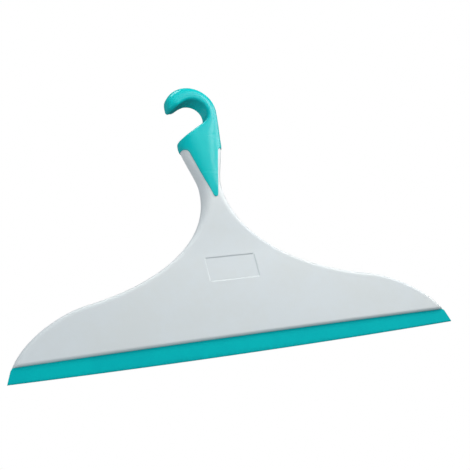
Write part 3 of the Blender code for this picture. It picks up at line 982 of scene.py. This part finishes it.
class SQUEEGEE_OT_holder(bpy.types.Operator):
    """Build the white fan, neck and handle."""

    bl_idname = "squeegee.holder"
    bl_label = "Build Holder"

    def execute(self, context):
        sizes = context.scene.squeegee_sizes
        colours = context.scene.squeegee_colours
        sides = fence(ring(long_outline()))
        piece = working_shape("holder_body", body_solid(body_stand_off(sides)))
        combine(piece, rubber_root(WEB_HALF_THICKNESS + GROOVE_GAP, BEAD_RADIUS + GROOVE_GAP,
                                   GROOVE_HALF_LENGTH, 0.0))
        combine(piece, panel_recess(sizes))
        seat_floor = FAN_HALF_DEPTH - COVER_THICKNESS - COVER_GAP
        combine(piece, block(cover_outline(0.0), seat_floor, FAN_HALF_DEPTH + BEYOND))
        combine(piece, hollow(seat_floor))
        material = body_plastic("white_satin", colours.body, BODY_FINISH)
        finish_piece(piece, material, lambda point: near_edge(distance_to(sides, point), BODY_WEAR_REACH),
                     BODY_SHARP_ANGLE)
        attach(piece, HANDLE_BODY)
        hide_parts("holder")
        return {"FINISHED"}


def near_edge(distance, reach):
    """Closeness to an edge, 1 on it and fading over a reach."""
    return math.exp(-distance / reach)


def panel_recess(sizes):
    """The blank panel's hollow: a block with sloping walls and slightly rounded corners."""
    half = (sizes.panel_width / 2.0, sizes.panel_height / 2.0)
    low, high = PANEL_CENTRE_HEIGHT - half[1], PANEL_CENTRE_HEIGHT + half[1]
    bm = box(-half[0], half[0], -FAN_HALF_DEPTH - sizes.panel_depth, -FAN_HALF_DEPTH + sizes.panel_depth,
             low, high)
    upright = [edge for edge in bm.edges if abs((edge.verts[0].co - edge.verts[1].co).y) > sizes.panel_depth]
    bevel(bm, upright, sizes.panel_slope, PANEL_CORNER_SEGMENTS)
    floor = max(bm.faces, key=lambda face: face.calc_center_median().y)
    centre = floor.calc_center_median()
    for vert in bm.verts:
        share = (vert.co.y + FAN_HALF_DEPTH) / sizes.panel_depth
        for axis, reach in ((0, half[0]), (2, half[1])):
            offset = vert.co[axis] - centre[axis]
            vert.co[axis] -= offset / reach * sizes.panel_slope * share
    bmesh.ops.recalc_face_normals(bm, faces=bm.faces)
    return bm


def cover_outline(margin):
    """Outline of the rear cover: the fan's edge drawn in and cut level at top and bottom."""
    bm = bmesh.new()
    face = flat_face(bm, long_outline())
    inset(bm, face, COVER_INSET + margin)
    bmesh.ops.delete(bm, geom=[other for other in bm.faces if other is not face], context="FACES")
    trim(bm, COVER_BOTTOM + margin, COVER_TOP - margin)
    outline = [vert.co.copy() for vert in list(bm.faces)[0].verts]
    bm.free()
    return outline


def hollow(seat_floor):
    """The hollow behind the front wall, with ribs and pin bosses left standing."""
    floor = FRONT_WALL - FAN_HALF_DEPTH
    space = working_shape("hollow", block(cover_outline(LEDGE), floor, seat_floor + COVER_GAP))
    for place in RIB_PLACES:
        combine(space, box(place - RIB_THICKNESS / 2.0, place + RIB_THICKNESS / 2.0, -BEYOND, BEYOND,
                           0.0, COVER_TOP + BEYOND))
    for place in BOSS_PLACES:
        combine(space, disc(place, BOSS_RADIUS, -BEYOND, BEYOND, BOSS_SIDES))
        combine(space, disc(place, PIN_RADIUS + COVER_GAP, seat_floor - PIN_LENGTH - COVER_GAP,
                            seat_floor + COVER_GAP, PIN_SIDES), "UNION")
    bm = bmesh.new()
    bm.from_mesh(space.data)
    bpy.data.objects.remove(space)
    return bm


class SQUEEGEE_OT_rear_cover(bpy.types.Operator):
    """Build the white plate that closes the back of the fan."""

    bl_idname = "squeegee.rear_cover"
    bl_label = "Build Rear Cover"

    def execute(self, context):
        colours = context.scene.squeegee_colours
        inner = FAN_HALF_DEPTH - COVER_THICKNESS
        outline = cover_outline(COVER_GAP)
        bm = block(outline, inner, FAN_HALF_DEPTH)
        rim = [edge for edge in bm.edges
               if all(abs(vert.co.y - FAN_HALF_DEPTH) < COVER_GAP for vert in edge.verts)]
        bevel(bm, rim, COVER_EDGE, COVER_EDGE_SEGMENTS)
        piece = working_shape("rear_cover_plate", bm)
        for place in BOSS_PLACES:
            combine(piece, disc(place, PIN_RADIUS, inner - PIN_LENGTH, inner + COVER_GAP, PIN_SIDES), "UNION")
        edge_line = fence(ring(outline))
        material = body_plastic("white_cover_satin", colours.body, COVER_FINISH)
        finish_piece(piece, material,
                     lambda point: near_edge(distance_to(edge_line, point), COVER_WEAR_REACH))
        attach(piece, HANDLE_BODY)
        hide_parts("rear_cover")
        return {"FINISHED"}


class SQUEEGEE_OT_hook_skin(bpy.types.Operator):
    """Build the turquoise hook, collar and tongues."""

    bl_idname = "squeegee.hook_skin"
    bl_label = "Build Hook Skin"

    def execute(self, context):
        colours = context.scene.squeegee_colours
        sides = fence(*grip_outer_paths())
        inside = fence(*grip_inner_paths())
        seam_half = tongue_edge() + [spot(BEYOND, WINDOW_HEIGHT)]
        seam = fence(mirror_path(seam_half) + seam_half)
        low, high = EDGE_LEVEL + TONGUE_TIP_HEIGHT, EDGE_LEVEL + CROWN_CENTRE[1] + CROWN_RADIUS
        rows = steps_between(low, high, SKIN_GRID)
        columns = steps_between(-CROWN_RADIUS, CROWN_RADIUS, SKIN_GRID)
        bm = banded_face(skin_outline(), SKIN_RINGS, rows, columns)
        rim = fence(mirror_path(seam_half) + seam_half, *grip_outer_paths(), *grip_inner_paths())
        stand_off_both_ways(bm, evened(skin_stand_off(sides, inside, seam), rim))
        piece = working_shape("hook_skin", bm)
        combine(piece, body_solid(body_depth_grown(fence(ring(long_outline())), SKIN_CLEARANCE)))
        finish_piece(piece, hook_plastic(colours.hook), lambda point: near_edge(
            min(distance_to(sides, point), distance_to(seam, point)), HOOK_WEAR_REACH))
        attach(piece, HANDLE_BODY)
        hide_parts("hook_grip")
        return {"FINISHED"}


def rubber_root(web_half, bead_radius, half_length, bottom):
    """The bead and web of the rubber strip as a straight bar along X."""
    reach = math.degrees(math.asin(web_half / bead_radius))
    bead = arc((0.0, BEAD_HEIGHT), bead_radius, -90.0 + reach, 270.0 - reach, BEAD_STEPS)
    profile = [spot(web_half, bottom)] + bead + [spot(-web_half, bottom)]
    return bar_along_x(profile, half_length)


def bar_along_x(profile, half_length):
    """A straight bar along X with a given cross-section."""
    bm = block(profile, -half_length, half_length)
    bmesh.ops.rotate(bm, verts=bm.verts, cent=(0.0, 0.0, 0.0),
                     matrix=Matrix.Rotation(math.radians(90.0), 3, "Z"))
    return bm


def lip_blank(sizes):
    """The lip's straight blank: a bar with a chamfered wiping edge and rounded upper corners."""
    top, edge = sizes.lip_top / 2.0, sizes.lip_edge / 2.0
    profile = [spot(top, LIP_TOP_HEIGHT), spot(-top, LIP_TOP_HEIGHT), spot(-edge, edge),
               spot(-edge / 2.0, 0.0), spot(edge / 2.0, 0.0), spot(edge, edge)]
    bm = bar_along_x(profile, LIP_HALF_WIDTH)
    ends = [item for item in bm.edges
            if all(vert.co.z > EDGE_LEVEL + LIP_TOP_HEIGHT - COVER_GAP for vert in item.verts)
            and item.calc_length() < LIP_HALF_WIDTH]
    bevel(bm, ends, LIP_CORNER_SOFTNESS, CORNER_SEGMENTS)
    return bm


class SQUEEGEE_OT_rubber_lip(bpy.types.Operator):
    """Build the rubber strip: its root in the jaw and the lip that wipes."""

    bl_idname = "squeegee.rubber_lip"
    bl_label = "Build Rubber Lip"

    def execute(self, context):
        sizes = context.scene.squeegee_sizes
        colours = context.scene.squeegee_colours
        bm = lip_blank(sizes)
        score(bm, [EDGE_LEVEL + row for row in LIP_ROWS], UP)
        score(bm, steps_between(-LIP_HALF_WIDTH, LIP_HALF_WIDTH, 2.0 * LIP_HALF_WIDTH / LIP_STATIONS), ACROSS)
        for vert in bm.verts:
            across = vert.co.x / LIP_HALF_WIDTH
            rise = (vert.co.z - EDGE_LEVEL) / LIP_TOP_HEIGHT
            vert.co.x -= across * (LIP_HALF_WIDTH - LIP_TOP_SPREAD) * rise
            vert.co.z += (1.0 - across ** 2) * (JAW_BOW * rise - LIP_BELLY * (1.0 - rise))
        bmesh.ops.recalc_face_normals(bm, faces=bm.faces)
        piece = working_shape("rubber_lip", bm)
        combine(piece, rubber_root(WEB_HALF_THICKNESS, BEAD_RADIUS, GROOVE_HALF_LENGTH - GROOVE_GAP,
                                   LIP_TOP_HEIGHT - GROOVE_GAP), "UNION")
        # The rubber's colour is made darker by closeness to its wiping edge
        finish_piece(piece, lip_rubber(colours.rubber),
                     lambda point: near_edge(max(0.0, point.z - EDGE_LEVEL), LIP_DARKER_EDGE_REACH))
        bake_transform(piece)
        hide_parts("lip_root", "wiper_lip")
        return {"FINISHED"}


# ------------ stage

def aim(place, target):
    """Rotation that turns a light or camera at a place towards a target."""
    return (Vector(target) - Vector(place)).to_track_quat("-Z", "Y")


def soft_light(name, place, target, size, power, colour, mirrored):
    """A soft studio light, which glossy surfaces may or may not mirror."""
    lamp = bpy.data.lights.new(name, "AREA")
    lamp.shape = "RECTANGLE"
    lamp.size = size[0]
    lamp.size_y = size[1]
    lamp.energy = power
    lamp.color = colour
    light = bpy.data.objects.new(name, lamp)
    light.location = place
    light.rotation_euler = aim(place, target).to_euler()
    light.visible_glossy = mirrored
    bpy.context.scene.collection.objects.link(light)


def pale_floor(colour):
    """A plain pale floor well below the squeegee, which throws no light up at it."""
    bm = bmesh.new()
    bmesh.ops.create_grid(bm, x_segments=4, y_segments=4, size=FLOOR_SIZE / 2.0)
    bmesh.ops.translate(bm, verts=bm.verts, vec=(0.0, 0.0, FLOOR_LEVEL))
    floor = working_shape("floor", bm)
    material = bpy.data.materials.new("pale_floor")
    material.use_nodes = True
    tree = material.node_tree
    shader = tree.nodes["Principled BSDF"]
    place = tree.nodes.new("ShaderNodeTexCoord").outputs["Object"]
    flow = place_group(tree, "Colour Flow", build_colour_flow, Vector=place,
                       Colour=tuple(colour), Drift_Colour=scaled(colour, *FLOOR_DRIFT), Amount=1.0,
                       Scale=FLOOR_FLOW_SCALE)
    join(tree, flow.outputs["Colour"], shader.inputs["Base Color"])
    join(tree, flow.outputs["Colour"], shader.inputs["Emission Color"])
    shader.inputs["Emission Strength"].default_value = FLOOR_GLOW
    shader.inputs["Roughness"].default_value = FLOOR_ROUGHNESS
    floor.data.materials.append(material)
    floor.visible_diffuse = False
    floor.visible_glossy = False


def studio_world():
    """A white surround that the camera sees, and a dimmer one, brighter above, that gives light."""
    world = bpy.data.worlds.new("studio")
    world.use_nodes = True
    bpy.context.scene.world = world
    tree = world.node_tree
    tree.nodes.clear()
    output = tree.nodes.new("ShaderNodeOutputWorld")
    path = tree.nodes.new("ShaderNodeLightPath")
    mixer = tree.nodes.new("ShaderNodeMixShader")
    ambient = add_background(tree, AMBIENT_COLOUR)
    seen = add_background(tree, BACKDROP_COLOUR)
    direction = tree.nodes.new("ShaderNodeTexCoord").outputs["Generated"]
    split = tree.nodes.new("ShaderNodeSeparateXYZ")
    join(tree, direction, split.inputs["Vector"])
    overhead = map_range(tree, split.outputs["Z"], *AMBIENT_RISE, AMBIENT_BELOW, AMBIENT_ABOVE)
    dulled = times(tree, path.outputs["Is Glossy Ray"], 1.0 - AMBIENT_GLOSS)
    strength = times(tree, overhead, math_node(tree, "SUBTRACT", 1.0, dulled))
    join(tree, strength, ambient.inputs["Strength"])
    join(tree, path.outputs["Is Camera Ray"], mixer.inputs["Fac"])
    join(tree, ambient.outputs["Background"], mixer.inputs[1])
    join(tree, seen.outputs["Background"], mixer.inputs[2])
    join(tree, mixer.outputs["Shader"], output.inputs["Surface"])


def add_background(tree, colour):
    """One background shader."""
    node = tree.nodes.new("ShaderNodeBackground")
    node.inputs["Color"].default_value = colour
    return node


def place_camera():
    """The camera, below and to the left, looking up at the squeegee and slightly rolled."""
    data = bpy.data.cameras.new("camera")
    data.lens = CAMERA_LENS
    data.clip_start = CAMERA_CLIP
    camera = bpy.data.objects.new("camera", data)
    yaw, pitch = math.radians(CAMERA_YAW), math.radians(CAMERA_PITCH)
    forward = Vector((math.sin(yaw) * math.cos(pitch), math.cos(yaw) * math.cos(pitch), math.sin(pitch)))
    turn = forward.to_track_quat("-Z", "Y").to_matrix().to_4x4()
    roll = Matrix.Rotation(math.radians(CAMERA_ROLL), 4, "Z")
    camera.matrix_world = Matrix.Translation(CAMERA_PLACE) @ turn @ roll
    bpy.context.scene.collection.objects.link(camera)
    bpy.context.scene.camera = camera


class SQUEEGEE_OT_stage(bpy.types.Operator):
    """Set the pale floor, the soft lights and the camera."""

    bl_idname = "squeegee.stage"
    bl_label = "Set Stage"

    def execute(self, context):
        pale_floor(context.scene.squeegee_colours.floor)
        studio_world()
        place_camera()
        for light in LIGHTS:
            soft_light(*light)
        context.scene.view_settings.view_transform = "Standard"
        return {"FINISHED"}


class SQUEEGEE_PT_tools(bpy.types.Panel):
    """Sidebar panel with the pieces, the stage and their settings."""

    bl_idname = "SQUEEGEE_PT_tools"
    bl_label = "Window Squeegee"
    bl_space_type = "VIEW_3D"
    bl_region_type = "UI"
    bl_category = "Squeegee"

    def draw(self, context):
        for operator in BUILDERS:
            self.layout.operator(operator.bl_idname)
        for settings in (context.scene.squeegee_sizes, context.scene.squeegee_colours):
            for name in settings.__annotations__:
                self.layout.prop(settings, name)


BUILDERS = (SQUEEGEE_OT_holder, SQUEEGEE_OT_rear_cover, SQUEEGEE_OT_hook_skin, SQUEEGEE_OT_rubber_lip,
            SQUEEGEE_OT_stage)
CLASSES = (SqueegeeSizes, SqueegeeColours) + BUILDERS + (SQUEEGEE_PT_tools,)


def register():
    """Register the add-on's classes and settings."""
    for item in CLASSES:
        bpy.utils.register_class(item)
    bpy.types.Scene.squeegee_sizes = PointerProperty(type=SqueegeeSizes)
    bpy.types.Scene.squeegee_colours = PointerProperty(type=SqueegeeColours)


def unregister():
    """Remove the add-on's settings and classes."""
    del bpy.types.Scene.squeegee_colours
    del bpy.types.Scene.squeegee_sizes
    for item in reversed(CLASSES):
        bpy.utils.unregister_class(item)


def main():
    """Build every piece and the stage."""
    register()
    bpy.ops.squeegee.holder()
    bpy.ops.squeegee.rear_cover()
    bpy.ops.squeegee.hook_skin()
    bpy.ops.squeegee.rubber_lip()
    bpy.ops.squeegee.stage()


if __name__ == "__main__":
    main()
